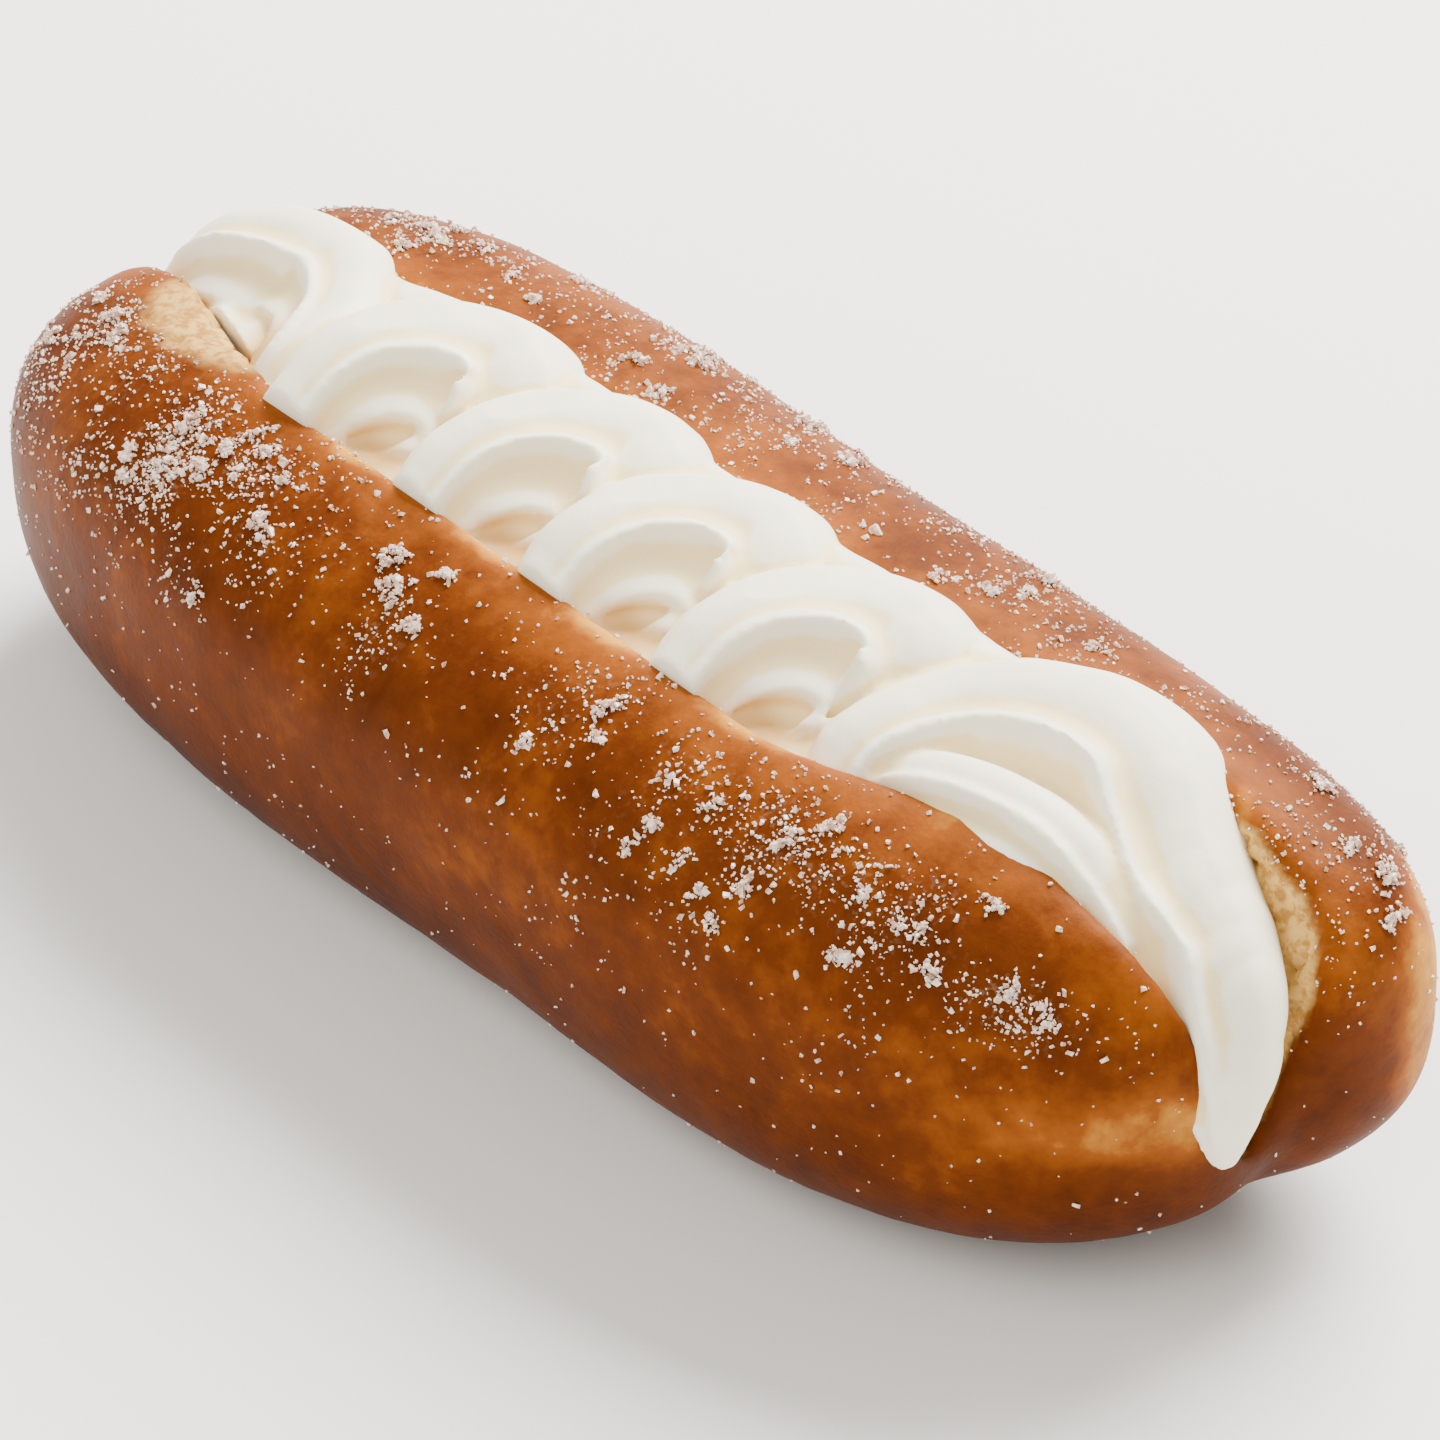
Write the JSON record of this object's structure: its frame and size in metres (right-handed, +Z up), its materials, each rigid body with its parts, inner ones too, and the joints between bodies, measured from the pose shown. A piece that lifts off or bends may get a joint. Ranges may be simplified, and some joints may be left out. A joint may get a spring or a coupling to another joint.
{
  "type": "cream-filled finger doughnut",
  "caption": "Long fried finger doughnut, split along its top and both ends, filled with piped loops of cream and dusted with sugar.",
  "frame": {"origin": "middle of the underside of the whole object's box, on the surface that it rests on", "axes": "+X along the doughnut towards the end where the cream runs down, +Y towards the far flank, +Z up"},
  "size_m": [0.1632, 0.0622, 0.0479],
  "materials": {
    "crust": "satin fried crust, mottled golden to dark brown, with fused white sugar clumps",
    "cream": "soft whipped cream, warm white"
  },
  "bodies": {
    "root": {"bun": "crust", "cream": "cream"}
  },
  "joints": []
}
